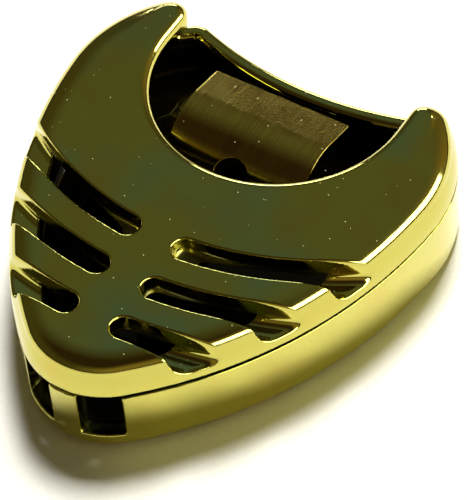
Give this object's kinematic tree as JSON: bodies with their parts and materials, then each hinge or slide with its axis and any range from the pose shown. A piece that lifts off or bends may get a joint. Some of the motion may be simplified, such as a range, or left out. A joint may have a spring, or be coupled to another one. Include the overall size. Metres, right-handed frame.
{
  "type": "plectrum holder",
  "caption": "Heart-shaped stick-on holder for guitar plectrums: slotted cover with thumb notch over a shell, with a leaf spring that grips the plectrums.",
  "frame": {"origin": "on the back face that is stuck down, below the middle of the case", "axes": "+X across the case, +Y towards the mouth where plectrums go in (the pointed end is -Y), +Z out of the slotted cover"},
  "size_m": [0.041, 0.0458, 0.012],
  "materials": {
    "gold_plated_abs": "polished",
    "spring_steel": "polished",
    "foam_pad": "matte",
    "release_paper": "satin"
  },
  "bodies": {
    "holder": {"base_shell": "gold_plated_abs", "top_cover": "gold_plated_abs", "spring_foot": "spring_steel", "adhesive_pad": "foam_pad", "release_liner": "release_paper"},
    "spring": {"spring_leaf": "spring_steel"}
  },
  "joints": [
    {"name": "spring_press", "type": "hinge", "parent": "holder", "child": "spring", "pos_m": [0, 0.0071, 0.00577], "axis": [-1, 0, 0], "range_deg": [0, 24], "stiffness_Nm_per_rad": 0.02}
  ]
}
